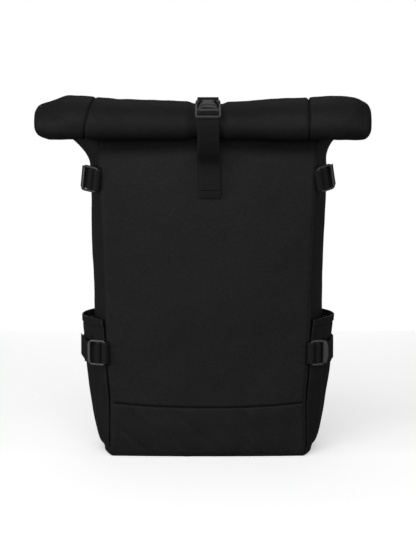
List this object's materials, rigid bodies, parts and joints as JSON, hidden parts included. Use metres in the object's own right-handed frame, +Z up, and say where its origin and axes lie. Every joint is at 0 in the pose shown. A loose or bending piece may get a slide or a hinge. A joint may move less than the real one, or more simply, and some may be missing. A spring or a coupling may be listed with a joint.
{
  "type": "rolltop backpack",
  "caption": "Tall black rolltop backpack with a buckled rolled top, side compression straps, open side pockets, padded back and shoulder straps, standing on its flat base",
  "frame": {"origin": "centre of the flat base, on the surface that the pack stands on", "axes": "+Z up, +X to the right as the front is seen, -Y out of the front panel, +Y out of the padded back"},
  "size_m": [0.424, 0.2252, 0.4538],
  "materials": {
    "pack_cloth": "matt black coated polyester cloth, fine plain weave",
    "webbing": "matt black ribbed woven webbing",
    "moulded_plastic": "satin black moulded plastic",
    "pad_mesh": "matt black spacer mesh over foam"
  },
  "bodies": {
    "root": {"front_panel": "pack_cloth", "side_panel_left": "pack_cloth", "side_panel_right": "pack_cloth", "back_panel": "pack_cloth", "base_panel": "pack_cloth", "rolled_top": "pack_cloth", "side_pocket_left": "pack_cloth", "side_pocket_right": "pack_cloth", "buckle_clip": "moulded_plastic", "buckle_socket": "moulded_plastic", "front_strap": "webbing", "roll_strap": "webbing", "side_lock_lower_left": "moulded_plastic", "side_lock_lower_right": "moulded_plastic", "side_lock_upper_left": "moulded_plastic", "side_lock_upper_right": "moulded_plastic", "side_loop_lower_left": "webbing", "side_loop_lower_right": "webbing", "side_loop_upper_left": "webbing", "side_loop_upper_right": "webbing", "side_strap_lower_left": "webbing", "side_strap_lower_right": "webbing", "side_strap_upper_left": "webbing", "side_strap_upper_right": "webbing", "back_pad": "pad_mesh", "shoulder_strap_left": "pack_cloth", "shoulder_strap_right": "pack_cloth", "shoulder_lock_left": "moulded_plastic", "shoulder_lock_right": "moulded_plastic", "shoulder_loop_left": "webbing", "shoulder_loop_right": "webbing", "shoulder_webbing_left": "webbing", "shoulder_webbing_right": "webbing", "grab_handle": "webbing"}
  },
  "joints": []
}
